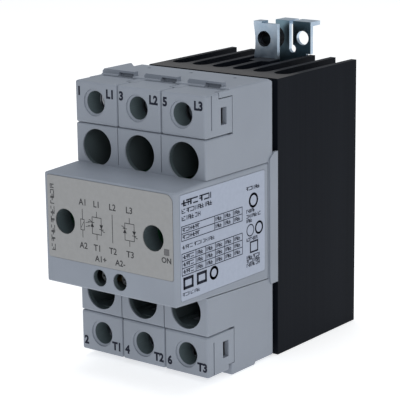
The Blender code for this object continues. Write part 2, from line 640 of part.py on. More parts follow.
def rail_bracket(mats):
    """The zinc plated bracket: rear plate with hooks, earth tab, and two feet screwed to the middle fin."""
    rear_d = PLATE_D + PLATE_T
    low_z = 1.6
    neck_z = SINK_TOP + 0.5    # the plate is offset to the right above the fins
    plate_top = BRACKET_TOP - 0.8
    plate = [(-BRACKET_X, low_z), (BRACKET_X, low_z), (BRACKET_X, neck_z), (9.0, neck_z), (9.0, plate_top),
             (-6.0, plate_top), (-6.0, neck_z), (-BRACKET_X, neck_z)]
    obj = new_object("rail_bracket", prism(plate, "d", PLATE_D, rear_d), mats["zinc_steel"])
    inside_d = PLATE_D + 0.5
    hook_low = RAIL_Z + RAIL_HALF + 0.4
    hook = [(rear_d - 0.5, hook_low), (HOOK_END_D - 1.6, hook_low), (HOOK_END_D - 1.6, hook_low - 3.0),
            (HOOK_END_D, hook_low - 3.0), (HOOK_END_D, hook_low + 1.5), (rear_d - 0.5, hook_low + 1.5)]
    flange = [(rear_d - 0.5, plate_top - PLATE_T), (HOOK_END_D - 0.4, plate_top - PLATE_T),
              (HOOK_END_D - 0.4, plate_top - 0.02), (rear_d - 0.5, plate_top - 0.02)]
    add(obj, [prism(hook, "x", -5.6, 5.6),
              prism(flange, "x", -5.98, 8.98),
              block((-BRACKET_X, TAB_D + 0.7, 74.2), (BRACKET_X, inside_d, 75.7)),
              block((-BRACKET_X, TAB_D + 0.7, 12.6), (BRACKET_X, inside_d, 14.1)),
              block((-1.6, 92.4, 62.4), (1.6, inside_d, 63.9))])
    add(obj, [prism(tab_outline(), "d", TAB_D, TAB_D + PLATE_T),
              block((-BRACKET_X, TAB_D, 3.0), (BRACKET_X, TAB_D + PLATE_T, 14.1))])
    add(obj, [block((-BRACKET_X + 0.1, TAB_D + PLATE_T - 0.5, BRACKET_TOP - PLATE_T),
                    (-3.62, 92.1, BRACKET_TOP - 0.02))])
    slot_x = 0.7
    cut(obj, [block((slot_x - 0.75, PLATE_D - 1, 96.2), (slot_x + 0.75, HOOK_END_D + 1, BRACKET_TOP + 1)),
              block((-4.3, PLATE_D - 1, 23.6), (4.3, rear_d + 1, 34.0)),
              block((-3.2, LATCH_D - 1.2, 11.0), (3.2, PLATE_D + 0.001, 15.0)),
              rod("d", (5.6, 100.4), PLATE_D - 1, rear_d + 1, 2.5),
              rod("d", (TAB_HOLE_X, TAB_HOLE_Z), TAB_D - 1, TAB_D + PLATE_T + 1, 2.8),
              rod("d", (0.0, RIVET_Z), PLATE_D - 1, rear_d + 1, 1.65, 16)])
    cut(obj, [rod("d", (1.3, 96.3), PLATE_D - 1, rear_d + 1, 1.4, 20)]
        + [rod("d", (0.0, z), TAB_D - 1, TAB_D + PLATE_T + 1, FIX_SCREW_R + 0.4, 20) for z in (84.0, 8.0)])
    smooth(obj)


def earth_nut(mats):
    """The blackened M5 nut behind the earth tab's hole."""
    low_d = TAB_D + PLATE_T + 0.05
    obj = new_object("earth_nut", turned("d", (TAB_HOLE_X, TAB_HOLE_Z), [(low_d, 4.0), (low_d + 5.2, 4.0),
                                                                         (low_d + 5.9, 3.4)]),
                     mats["black_steel"], (TAB_HOLE_X, low_d, TAB_HOLE_Z))
    cut(obj, [rod("d", (TAB_HOLE_X, TAB_HOLE_Z), low_d - 1, low_d + 8, 2.1, 20)])
    smooth(obj)


def rail_latch(mats):
    """The sprung slide that grips the rail's lower lip, with a pull eye at its lower end."""
    rear_d = LATCH_D + LATCH_T
    outline = [(-2.6, 6.2), (2.6, 6.2), (2.6, 19.0), (5.4, 21.0), (5.4, 44.2), (-5.4, 44.2), (-5.4, 21.0),
               (-2.6, 19.0)]
    obj = new_object("rail_latch", prism(outline, "d", LATCH_D, rear_d), mats["spring_steel"],
                     (0.0, LATCH_D, RAIL_Z - RAIL_HALF))
    lip_low = RAIL_Z - RAIL_HALF
    nose = [(rear_d - 0.4, lip_low - 1.9), (HOOK_END_D, lip_low - 1.9), (HOOK_END_D, lip_low + 2.6),
            (HOOK_END_D - 1.6, lip_low + 2.6), (HOOK_END_D - 1.6, lip_low - 0.4), (rear_d - 0.4, lip_low - 0.4)]
    add(obj, [prism(nose, "x", -3.9, 3.9), block((-1.6, 92.4, 42.6), (1.6, LATCH_D + 0.4, 44.18))])
    cut(obj, [prism(rounded_outline((-1.6, RIVET_Z - 1.7), (1.6, RIVET_Z + 6.4), [1.58] * 4, 4), "d",
                    LATCH_D - 1, rear_d + 1),
              rod("d", (0.0, 9.0), LATCH_D - 1, rear_d + 1, 1.5, 16)])
    smooth(obj)


def latch_rivet(mats):
    """The shoulder rivet that holds the latch against the rear plate and guides it."""
    front_d = LATCH_D - GAP - 1.2
    profile = [(front_d, 1.6), (front_d + 0.4, 2.3), (front_d + 1.2, 2.3), (front_d + 1.2, 1.3),
               (PLATE_D + PLATE_T, 1.3)]
    obj = new_object("latch_rivet", turned("d", (0.0, RIVET_Z), profile, 16), mats["terminal_steel"],
                     (0.0, front_d, RIVET_Z))
    smooth(obj)


def latch_spring(mats):
    """The coil between the bracket's post and the latch's ear."""
    low_z, high_z = 44.6, 62.0
    radius, wire_r = 2.2, 0.35
    turns, steps, sides = 6, 10, 5
    axis_d = 94.8
    bm = bmesh.new()
    count = turns * steps
    rings = []
    for i in range(count + 1):
        angle = 2 * math.pi * i / steps
        z = low_z + wire_r + (high_z - low_z - 2 * wire_r) * i / count
        ring = []
        for k in range(sides):
            turn = 2 * math.pi * k / sides
            reach = radius + wire_r * math.cos(turn)
            ring.append(bm.verts.new(placed(reach * math.cos(angle), axis_d + reach * math.sin(angle),
                                            z + wire_r * math.sin(turn))))
        rings.append(ring)
    for lower, upper in zip(rings, rings[1:]):
        for k in range(sides):
            j = (k + 1) % sides
            bm.faces.new((lower[k], lower[j], upper[j], upper[k]))
    bm.faces.new(rings[0])
    bm.faces.new(rings[-1])
    bmesh.ops.recalc_face_normals(bm, faces=bm.faces)
    obj = new_object("latch_spring", bm, mats["spring_steel"], (0.0, axis_d, high_z))
    smooth(obj, 80.0)


def fixings(mats):
    """The long screws that hold the housing on the heatsink, and the bracket's two screws."""
    for label, side in (("left", -1), ("right", 1)):
        screw("housing_screw_" + label, side * KEY_HOLE_X, KEY_HOLE_Z, 12.9, 3.5, 2.9, FIX_SCREW_R, 61.2,
              mats["terminal_steel"])
    for label, z in (("upper", 84.0), ("lower", 8.0)):
        profile = [(SHORT_FIN_D - 5.8, 1.4), (SHORT_FIN_D - 5.3, FIX_SCREW_R), (TAB_D + PLATE_T + GAP, FIX_SCREW_R),
                   (TAB_D + PLATE_T + GAP, 3.6), (TAB_D + PLATE_T + 2.0, 3.6), (TAB_D + PLATE_T + 2.7, 2.4)]
        obj = new_object("bracket_screw_" + label, turned("d", (0.0, z), profile, 20), mats["terminal_steel"],
                         (0.0, TAB_D + PLATE_T, z))
        recess = cross_recess(0.0, z, TAB_D + PLATE_T + 1.4, 1.7, 3.0)
        cut(obj, recess[:1])
        cut(obj, recess[1:])
        smooth(obj)


def build():
    """The whole relay."""
    clear_scene()
    mats = make_materials()
    main_housing(mats)
    front_cover(mats)
    labels(mats)
    lamp_lens(mats)
    for x, line, load in zip(POLES, ("l1", "l2", "l3"), ("t1", "t2", "t3")):
        terminal_cap("terminal_cap_" + line, x, True, mats)
        terminal_cap("terminal_cap_" + load, x, False, mats)
        power_terminal(line, x, True, mats)
        power_terminal(load, x, False, mats)
    for x, line, load in ((POLES[0], "l1", "t1"), (POLES[2], "l3", "t3")):
        terminal_bar("terminal_bar_" + line, x, True, mats)
        terminal_bar("terminal_bar_" + load, x, False, mats)
    through_bar(mats)
    for x, label in zip(CONTROL_X, ("a1", "a2")):
        control_terminal(label, x, mats)
    boards(mats)
    power_modules(mats)
    frame_gasket(mats)
    heatsink(mats)
    rail_bracket(mats)
    earth_nut(mats)
    rail_latch(mats)
    latch_rivet(mats)
    latch_spring(mats)
    fixings(mats)


build()
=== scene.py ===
"""Looks for the three-pole solid state relay: camera, light, floor, materials and printed markings.

All positions are metres in the frame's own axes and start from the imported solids' boxes. Numbers on a printed
page are millimetres: across or depth first, then height.
"""

import json
import math

import bpy
import bmesh
from mathutils import Matrix, Vector


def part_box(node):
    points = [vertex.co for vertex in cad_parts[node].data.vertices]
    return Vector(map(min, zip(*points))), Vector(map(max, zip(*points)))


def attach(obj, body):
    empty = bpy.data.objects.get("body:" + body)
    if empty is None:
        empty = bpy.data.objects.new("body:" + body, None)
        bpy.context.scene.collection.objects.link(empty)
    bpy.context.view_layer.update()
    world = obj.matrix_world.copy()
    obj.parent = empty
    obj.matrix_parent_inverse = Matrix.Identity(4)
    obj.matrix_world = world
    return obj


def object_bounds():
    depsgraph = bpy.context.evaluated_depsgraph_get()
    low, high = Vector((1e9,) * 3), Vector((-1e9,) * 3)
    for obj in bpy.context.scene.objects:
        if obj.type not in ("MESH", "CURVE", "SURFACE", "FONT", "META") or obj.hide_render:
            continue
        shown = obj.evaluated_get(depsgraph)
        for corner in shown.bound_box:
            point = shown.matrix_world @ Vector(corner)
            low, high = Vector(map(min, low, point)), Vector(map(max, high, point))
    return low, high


MM = 0.001
INK_T = 0.012 * MM             # thickness of a printed mark
LIFT = 0.01 * MM               # a mark's distance from its surface
FLOOR_GAP = 0.1 * MM           # the floor lies this far under the feet
HOUSING_GREY = (0.245, 0.270, 0.315)
LONGEST_WORD = 11              # marks in a table's cell at most
RULE = 0.26                    # line width of the rating plate's tables, in page millimetres
TRACE = 0.22                   # line width of the wiring diagram, in page millimetres

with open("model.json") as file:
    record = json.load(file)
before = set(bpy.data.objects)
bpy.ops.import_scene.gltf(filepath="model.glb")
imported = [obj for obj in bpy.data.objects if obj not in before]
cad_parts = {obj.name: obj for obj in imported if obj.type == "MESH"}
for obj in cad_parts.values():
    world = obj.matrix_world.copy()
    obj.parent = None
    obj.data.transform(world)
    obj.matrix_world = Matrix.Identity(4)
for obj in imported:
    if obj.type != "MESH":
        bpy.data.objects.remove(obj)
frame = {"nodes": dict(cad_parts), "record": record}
nodes = frame["nodes"]
cad_low, cad_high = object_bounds()
side_low, side_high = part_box("side_label")
FACE_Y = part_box("front_label")[0].y
SIDE_X = side_high.x


# ---------------------------------------------------------------- small helpers

def new_material(name):
    """An empty Principled material with its node tree at hand."""
    mat = bpy.data.materials.new(name)
    mat.use_nodes = True
    tree = mat.node_tree
    return mat, tree.nodes, tree.links, tree.nodes["Principled BSDF"]


def object_space(nodes_, links, scale=(1.0, 1.0, 1.0)):
    """Object coordinates, stretched along the axes."""
    coords = nodes_.new("ShaderNodeTexCoord")
    mapping = nodes_.new("ShaderNodeMapping")
    mapping.inputs["Scale"].default_value = scale
    links.new(coords.outputs["Object"], mapping.inputs["Vector"])
    return mapping.outputs["Vector"]


def noise(nodes_, links, vector, scale, detail=3.0, roughness=0.5):
    """A noise texture's value."""
    tex = nodes_.new("ShaderNodeTexNoise")
    tex.inputs["Scale"].default_value = scale
    tex.inputs["Detail"].default_value = detail
    tex.inputs["Roughness"].default_value = roughness
    links.new(vector, tex.inputs["Vector"])
    return tex.outputs["Fac"]


def ramp(nodes_, links, value, stops):
    """A colour ramp over a value: stops are (place, colour)."""
    node = nodes_.new("ShaderNodeValToRGB")
    band = node.color_ramp
    while len(band.elements) < len(stops):
        band.elements.new(0.5)
    for element, (place, colour) in zip(band.elements, stops):
        element.position = place
        element.color = (*colour, 1.0)
    links.new(value, node.inputs["Fac"])
    return node.outputs["Color"]


def separated(nodes_, links, vector):
    """A vector's X, Y and Z outputs."""
    split = nodes_.new("ShaderNodeSeparateXYZ")
    links.new(vector, split.inputs["Vector"])
    return split.outputs


def rest_place(nodes_, links):
    """A point's X, Y and Z at rest, in metres."""
    return separated(nodes_, links, nodes_.new("ShaderNodeTexCoord").outputs["Object"])


def facing(nodes_, links):
    """The X, Y and Z of the surface's normal."""
    return separated(nodes_, links, nodes_.new("ShaderNodeNewGeometry").outputs["Normal"])


def remap(nodes_, links, value, low, high, start=0.0, end=1.0):
    """A value between start and end spread between low and high, and held there beyond them."""
    node = nodes_.new("ShaderNodeMapRange")
    node.inputs["From Min"].default_value = start
    node.inputs["From Max"].default_value = end
    node.inputs["To Min"].default_value = low
    node.inputs["To Max"].default_value = high
    links.new(value, node.inputs["Value"])
    return node.outputs["Result"]


def bump(nodes_, links, height, shader, strength, distance):
    """Surface relief on a shader."""
    node = nodes_.new("ShaderNodeBump")
    node.inputs["Strength"].default_value = strength
    node.inputs["Distance"].default_value = distance
    links.new(height, node.inputs["Height"])
    links.new(node.outputs["Normal"], shader.inputs["Normal"])
    return node


def tinted(colour, factor):
    """A colour made lighter or darker."""
    return tuple(channel * factor for channel in colour)


def joined(nodes_, links, first, second, operation):
    """Two values put together by a math node."""
    node = nodes_.new("ShaderNodeMath")
    node.operation = operation
    for socket, value in zip(node.inputs, (first, second)):
        if isinstance(value, float):
            socket.default_value = value
        else:
            links.new(value, socket)
    return node.outputs[0]


def within(nodes_, links, half_x, depth, heights, pitch=0.0, mirror_z=0.0):
    """1 inside a box of the rest coordinates: |x| up to half_x, y from depth on, z between the heights.

    With a pitch, x counts from the nearest multiple of it. With mirror_z, z counts up or down from there.
    """
    place = rest_place(nodes_, links)
    across, height = place["X"], place["Z"]
    if pitch:
        count = joined(nodes_, links, joined(nodes_, links, across, 1.0 / pitch, "MULTIPLY"), 0.0, "ROUND")
        across = joined(nodes_, links, across, joined(nodes_, links, count, pitch, "MULTIPLY"), "SUBTRACT")
    if mirror_z:
        height = joined(nodes_, links, joined(nodes_, links, height, mirror_z, "SUBTRACT"), 0.0, "ABSOLUTE")
    across = joined(nodes_, links, across, 0.0, "ABSOLUTE")
    parts = [joined(nodes_, links, across, half_x, "LESS_THAN"),
             joined(nodes_, links, place["Y"], depth, "GREATER_THAN"),
             joined(nodes_, links, height, heights[0], "GREATER_THAN"),
             joined(nodes_, links, height, heights[1], "LESS_THAN")]
    value = parts[0]
    for part in parts[1:]:
        value = joined(nodes_, links, value, part, "MULTIPLY")
    return value


def mixed(nodes_, links, factor, first, second):
    """Two colours mixed by a factor; each is a socket or a plain colour."""
    node = nodes_.new("ShaderNodeMix")
    node.data_type = "RGBA"
    links.new(factor, node.inputs["Factor"])
    for socket, value in ((node.inputs["A"], first), (node.inputs["B"], second)):
        if isinstance(value, tuple):
            socket.default_value = (*value, 1.0)
        else:
            links.new(value, socket)
    return node.outputs["Result"]


# ---------------------------------------------------------------- materials

def moulded_plastic(name, colour, roughness=0.5, grain=0.35, shaded_hollows=()):
    """Moulded plastic: fine spark-eroded grain, faint flow clouds and a slight sheen change.

    A hollow is (darkness, then what within() takes); the plastic is painted darker there as shade.
    """
    mat, nodes_, links, shader = new_material(name)
    space = object_space(nodes_, links)
    clouds = noise(nodes_, links, space, 45.0, 4.0)
    shade = ramp(nodes_, links, clouds, [(0.3, tinted(colour, 0.95)), (0.7, tinted(colour, 1.05))])
    for darkness, *hollow in shaded_hollows:
        # painted shade: the colour darkened by the factor inside the hollow
        hollow_shade = (colour[0] * darkness * 0.84, colour[1] * darkness, colour[2] * darkness * 0.92)
        shade = mixed(nodes_, links, within(nodes_, links, *hollow), shade, hollow_shade)
    links.new(shade, shader.inputs["Base Color"])
    fine = noise(nodes_, links, space, 3200.0, 2.0)
    links.new(remap(nodes_, links, fine, roughness - 0.07, roughness + 0.07), shader.inputs["Roughness"])
    bump(nodes_, links, fine, shader, grain, 0.00004)
    shader.inputs["Specular IOR Level"].default_value = 0.4
    return mat


def anodised_extrusion(name):
    """Black anodised extrusion: die lines along its length, duller sawn ends."""
    mat, nodes_, links, shader = new_material(name)
    lines = noise(nodes_, links, object_space(nodes_, links, (1.0, 1.0, 0.012)), 900.0, 4.0, 0.6)
    wide = noise(nodes_, links, object_space(nodes_, links, (1.0, 1.0, 0.03)), 120.0, 2.0)
    saw = noise(nodes_, links, object_space(nodes_, links, (0.08, 1.0, 1.0)), 2500.0, 3.0, 0.6)
    plain = ramp(nodes_, links, wide, [(0.3, (0.0036, 0.0050, 0.0082)), (0.7, (0.0056, 0.0072, 0.0110))])
    streaks = joined(nodes_, links, remap(nodes_, links, lines, -0.6, 1.0), 0.0, "MAXIMUM")
    side = mixed(nodes_, links, streaks, plain, (0.0105, 0.0125, 0.0170))
    upright = joined(nodes_, links, facing(nodes_, links)["Z"], 0.0, "ABSOLUTE")
    is_end = remap(nodes_, links, upright, 0.0, 1.0, 0.8, 0.95)
    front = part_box("heatsink")[0].y
    base_depth = 8.0 * MM
    depth = rest_place(nodes_, links)["Y"]
    on_base = remap(nodes_, links, depth, 1.0, 0.0, front + base_depth * 0.7, front + base_depth * 1.9)
    fin_end = ramp(nodes_, links, saw, [(0.3, (0.016, 0.017, 0.020)), (0.7, (0.028, 0.029, 0.034))])
    base_end = ramp(nodes_, links, saw, [(0.3, (0.076, 0.074, 0.074)), (0.7, (0.112, 0.108, 0.108))])
    ends = mixed(nodes_, links, on_base, fin_end, base_end)
    links.new(mixed(nodes_, links, is_end, side, ends), shader.inputs["Base Color"])
    links.new(remap(nodes_, links, lines, 0.42, 0.60), shader.inputs["Roughness"])
    bump(nodes_, links, lines, shader, 0.25, 0.00003)
    shader.inputs["Specular IOR Level"].default_value = 0.04
    return mat


def zinc_plate(name):
    """Bright zinc: blue-white passivation, soft clouding and faint rolling lines.

    The rear plate's front faces get a darker painted shade.
    """
    mat, nodes_, links, shader = new_material(name)
    space = object_space(nodes_, links)
    clouds = noise(nodes_, links, space, 260.0, 4.0, 0.6)
    bright = ramp(nodes_, links, clouds, [(0.3, (0.37, 0.47, 0.58)), (0.52, (0.49, 0.59, 0.70)),
                                          (0.75, (0.62, 0.68, 0.74))])
    to_front = joined(nodes_, links, facing(nodes_, links)["Y"], -0.7, "LESS_THAN")
    rear_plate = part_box("rail_bracket")[1].y - 8.0 * MM
    rear = joined(nodes_, links, rest_place(nodes_, links)["Y"], rear_plate, "GREATER_THAN")
    front_shade = joined(nodes_, links, to_front, rear, "MULTIPLY")
    # painted shade on the rear plate's faces that look to the front
    links.new(mixed(nodes_, links, front_shade, bright, (0.19, 0.29, 0.35)), shader.inputs["Base Color"])
    rolled = noise(nodes_, links, object_space(nodes_, links, (1.0, 1.0, 0.06)), 2200.0, 3.0)
    links.new(remap(nodes_, links, clouds, 0.22, 0.42), shader.inputs["Roughness"])
    bump(nodes_, links, rolled, shader, 0.25, 0.00003)
    shader.inputs["Metallic"].default_value = 1.0
    return mat


def plain_metal(name, colour, roughness, spread=0.08, scale=900.0, stretch=(1.0, 1.0, 1.0)):
    """A metal with its own grain direction and slight tarnish."""
    mat, nodes_, links, shader = new_material(name)
    tarnish = noise(nodes_, links, object_space(nodes_, links), 180.0, 3.0)
    links.new(ramp(nodes_, links, tarnish, [(0.3, tinted(colour, 0.82)), (0.7, tinted(colour, 1.08))]),
              shader.inputs["Base Color"])
    grain = noise(nodes_, links, object_space(nodes_, links, stretch), scale, 3.0)
    links.new(remap(nodes_, links, grain, roughness - spread, roughness + spread), shader.inputs["Roughness"])
    bump(nodes_, links, grain, shader, 0.3, 0.00003)
    shader.inputs["Metallic"].default_value = 1.0
    return mat


def printed_film(name, colour, roughness):
    """A label's laminated film: nearly even, with a satin skin."""
    mat, nodes_, links, shader = new_material(name)
    space = object_space(nodes_, links)
    fibre = noise(nodes_, links, space, 700.0, 3.0)
    links.new(ramp(nodes_, links, fibre, [(0.35, tinted(colour, 0.975)), (0.65, tinted(colour, 1.025))]),
              shader.inputs["Base Color"])
    skin = noise(nodes_, links, space, 150.0, 2.0)
    links.new(remap(nodes_, links, skin, roughness - 0.05, roughness + 0.05), shader.inputs["Roughness"])
    bump(nodes_, links, skin, shader, 0.08, 0.00003)
    return mat


def ink(name, colour):
    """Printing ink with slightly uneven coverage."""
    mat, nodes_, links, shader = new_material(name)
    cover = noise(nodes_, links, object_space(nodes_, links), 5000.0, 2.0)
    links.new(ramp(nodes_, links, cover, [(0.3, colour), (0.75, tinted(colour, 1.4))]),
              shader.inputs["Base Color"])
    shader.inputs["Roughness"].default_value = 0.7
    shader.inputs["Specular IOR Level"].default_value = 0.15
    return mat


def circuit_board(name):
    """Green solder mask over a faint copper pattern."""
    mat, nodes_, links, shader = new_material(name)
    space = object_space(nodes_, links)
    cells = nodes_.new("ShaderNodeTexBrick")
    cells.inputs["Scale"].default_value = 260.0
    cells.inputs["Color1"].default_value = (0.010, 0.085, 0.035, 1.0)
    cells.inputs["Color2"].default_value = (0.016, 0.120, 0.050, 1.0)
    cells.inputs["Mortar"].default_value = (0.030, 0.190, 0.075, 1.0)
    links.new(space, cells.inputs["Vector"])
    links.new(cells.outputs["Color"], shader.inputs["Base Color"])
    links.new(remap(nodes_, links, noise(nodes_, links, space, 500.0), 0.3, 0.5), shader.inputs["Roughness"])
    return mat


def lens_plastic(name):
    """Smoky diffuse light guide."""
    mat, nodes_, links, shader = new_material(name)
    haze = noise(nodes_, links, object_space(nodes_, links), 1800.0, 2.0)
    links.new(ramp(nodes_, links, haze, [(0.3, (0.080, 0.080, 0.086)), (0.7, (0.105, 0.105, 0.112))]),
              shader.inputs["Base Color"])
    shader.inputs["Roughness"].default_value = 0.3
    return mat


def studio_floor(name, colour, glow):
    """A pale sweep that is lit from below as well as above."""
    mat, nodes_, links, shader = new_material(name)
    speck = noise(nodes_, links, object_space(nodes_, links), 30.0, 3.0)
    links.new(ramp(nodes_, links, speck, [(0.3, tinted(colour, 0.99)), (0.7, colour)]),
              shader.inputs["Base Color"])
    shader.inputs["Roughness"].default_value = 0.8
    shader.inputs["Specular IOR Level"].default_value = 0.1
    shader.inputs["Emission Color"].default_value = (1.0, 1.0, 1.0, 1.0)
    shader.inputs["Emission Strength"].default_value = glow
    return mat


housing_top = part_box("main_housing")[1].z
cover_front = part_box("front_cover")[0].y
upper_low, upper_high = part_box("terminal_cap_l1")
lower_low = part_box("terminal_cap_t1")[0]
terminal_front = upper_low.y
row_middle = (upper_high.z + lower_low.z) / 2
cap_height = (upper_low.z + upper_high.z) / 2 - row_middle       # a cap's middle from the rows' middle
POLE_PITCH = 18.0 * MM

# painted shade in the conductors' holes between the caps, then in everything behind the caps
HOUSING = moulded_plastic("housing_grey", HOUSING_GREY, shaded_hollows=(
    (0.34, 24.6 * MM, terminal_front + 0.55 * MM, (16.8 * MM, 80.0 * MM)),
    (0.34, 24.6 * MM, terminal_front + 14.9 * MM, (2.5 * MM, housing_top - 3.4 * MM))))
# painted shade in the funnel and the tube for the driver
CAP = moulded_plastic("cap_grey", HOUSING_GREY, shaded_hollows=(
    (0.50, 7.15 * MM, terminal_front + 1.0 * MM, (cap_height - 5.6 * MM, cap_height + 5.25 * MM), POLE_PITCH,
     row_middle),))
# painted shade in the fixing holes and the control screws' holes
COVER = moulded_plastic("cover_grey", (0.236, 0.262, 0.308), shaded_hollows=(
    (0.34, 25.1 * MM, cover_front + 0.35 * MM, (31.9 * MM, 65.1 * MM)),))
EXTRUSION = anodised_extrusion("black_anodised")
ZINC = zinc_plate("bright_zinc")
SCREW_STEEL = plain_metal("screw_steel", (0.30, 0.32, 0.36), 0.42)
# control screw steel painted darker as shade for the deep holes the screws sit in
SHADED_SCREW = plain_metal("shaded_screw", (0.20, 0.21, 0.22), 0.45)
LATCH_STEEL = plain_metal("latch_steel", (0.40, 0.42, 0.45), 0.32, stretch=(1.0, 1.0, 0.1))
TINNED = plain_metal("tinned_copper", (0.50, 0.49, 0.46), 0.42, stretch=(0.1, 1.0, 1.0))
BRASS = plain_metal("cage_brass", (0.60, 0.46, 0.22), 0.35)
BLACKENED = plain_metal("blackened_steel", (0.018, 0.018, 0.020), 0.5)
GASKET = moulded_plastic("gasket_black", (0.012, 0.012, 0.014), 0.65, 0.6)
FRONT_FILM = printed_film("front_film", (0.266, 0.268, 0.270), 0.45)
SIDE_FILM = printed_film("side_film", (0.318, 0.356, 0.444), 0.42)
LENS = lens_plastic("lamp_window")
BOARD = circuit_board("solder_mask")
EPOXY = moulded_plastic("epoxy_black", (0.020, 0.020, 0.023), 0.45, 0.5)
VARISTOR = moulded_plastic("varistor_lacquer", (0.03, 0.10, 0.33), 0.3, 0.15)
CERAMIC = moulded_plastic("ceramic_white", (0.60, 0.60, 0.56), 0.4, 0.1)
DARK_INK = ink("dark_ink", (0.008, 0.010, 0.020))
GREY_INK = ink("grey_ink", (0.030, 0.030, 0.034))

FINISH = {
    "housing_plastic": HOUSING, "cover_plastic": COVER, "black_aluminium": EXTRUSION, "zinc_steel": ZINC,
    "spring_steel": LATCH_STEEL, "tinned_copper": TINNED, "terminal_steel": SCREW_STEEL, "brass": BRASS,
    "black_steel": BLACKENED, "gasket_black": GASKET, "label_grey": FRONT_FILM, "label_silver": SIDE_FILM,
    "lamp_lens": LENS,
    "board_green": BOARD, "epoxy_black": EPOXY, "varistor_blue": VARISTOR, "module_white": CERAMIC,
}
for part in frame["record"]["subparts"]:
    name = part["node"]
    finish = FINISH[part["material_slot"]]
    if name.startswith("terminal_cap"):
        finish = CAP
    # control screws take the steel painted darker as shade
    elif name.startswith("control_screw"):
        finish = SHADED_SCREW
    nodes[name].data.materials.clear()
    nodes[name].data.materials.append(finish)


# ---------------------------------------------------------------- printed markings

def face_front(y):
    """Places a drawing's (right, up) millimetres on a face that looks to the front."""
    return Matrix(((MM, 0, 0, 0), (0, 0, -MM, y), (0, MM, 0, 0), (0, 0, 0, 1)))


def face_right(x):
    """Places a drawing's (depth, up) millimetres on a face that looks to the right."""
    return Matrix(((0, 0, MM, x), (MM, 0, 0, 0), (0, MM, 0, 0), (0, 0, 0, 1)))


class Drawing:
    """Flat marks gathered in one mesh, in millimetres on the page, a little above it."""

    def __init__(self):
        self.mesh = bmesh.new()
        self.low = LIFT / MM
        self.high = (LIFT + INK_T) / MM

    def polygon(self, points):
        """A filled outline with the ink's thickness."""
        rings = [[self.mesh.verts.new((u, v, level)) for u, v in points] for level in (self.low, self.high)]
        self.mesh.faces.new(rings[0])
        self.mesh.faces.new(rings[1])
        for i in range(len(points)):
            j = (i + 1) % len(points)
            self.mesh.faces.new((rings[0][i], rings[0][j], rings[1][j], rings[1][i]))

    def line(self, start, end, width=TRACE):
        """A straight stroke with square ends."""
        a, b = Vector(start), Vector(end)
        along = (b - a).normalized() * width / 2
        across = Vector((-along.y, along.x))
        self.polygon([tuple(p) for p in (a - along - across, b + along - across, b + along + across,
                                         a - along + across)])

    def path(self, points, width=TRACE):
        """Strokes from point to point."""
        for start, end in zip(points, points[1:]):
            self.line(start, end, width)

    def box(self, low, high, width=TRACE):
        """A rectangle's outline."""
        self.path([low, (high[0], low[1]), high, (low[0], high[1]), low], width)

    def text(self, words, centre, height, bold=0.0, squeeze=1.0):
        """Letters from Blender's own font, centred on a point."""
        curve = bpy.data.curves.new("letters", "FONT")
        curve.body = words
        curve.size = height / 0.72
        curve.align_x, curve.align_y = "CENTER", "CENTER"
        curve.offset = bold
        curve.resolution_u = 3
        holder = bpy.data.objects.new("letters", curve)
        bpy.context.scene.collection.objects.link(holder)
        bpy.context.view_layer.update()
        flat = bpy.data.meshes.new_from_object(holder.evaluated_get(bpy.context.evaluated_depsgraph_get()))
        middle = (min(v.co.y for v in flat.vertices) + max(v.co.y for v in flat.vertices)) / 2
        flat.transform(Matrix.Translation((centre[0], centre[1], self.high))
                       @ Matrix.Diagonal((squeeze, 1.0, 1.0, 1.0)) @ Matrix.Translation((0.0, -middle, 0.0)))
        self.mesh.from_mesh(flat)
        bpy.data.objects.remove(holder)
        bpy.data.curves.remove(curve)
        bpy.data.meshes.remove(flat)

    def done(self, name, page, body, mat):
        """Lays the drawing on its face and makes it a piece that rides on a body."""
        self.mesh.transform(page)
        bmesh.ops.recalc_face_normals(self.mesh, faces=self.mesh.faces)
        mesh = bpy.data.meshes.new(name)
        self.mesh.to_mesh(mesh)
        self.mesh.free()
        obj = bpy.data.objects.new(name, mesh)
        mesh.materials.append(mat)
        bpy.context.scene.collection.objects.link(obj)
        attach(obj, body)
        return obj


def thyristor(page, middle, top, bottom, half):
    """Two antiparallel thyristors between two rails."""
    high, low = top - 1.8, bottom + 1.8
    centre = (high + low) / 2
    page.line((middle, top), (middle, high))
    page.line((middle, low), (middle, bottom))
    page.box((middle - half, low), (middle + half, high))
    for side, up in ((-1, 1), (1, -1)):
        x = middle + side * half
        foot, bar, gate = centre - up * 0.55, centre + up * 0.95, centre + up * 1.6
        page.polygon([(x - 0.75, foot), (x + 0.75, foot), (x, centre + up * 0.85)])
        page.line((x - 0.75, bar), (x + 0.75, bar))
        page.path([(x, bar), (x + side * 0.9, gate), (x + side * 1.3, gate)])


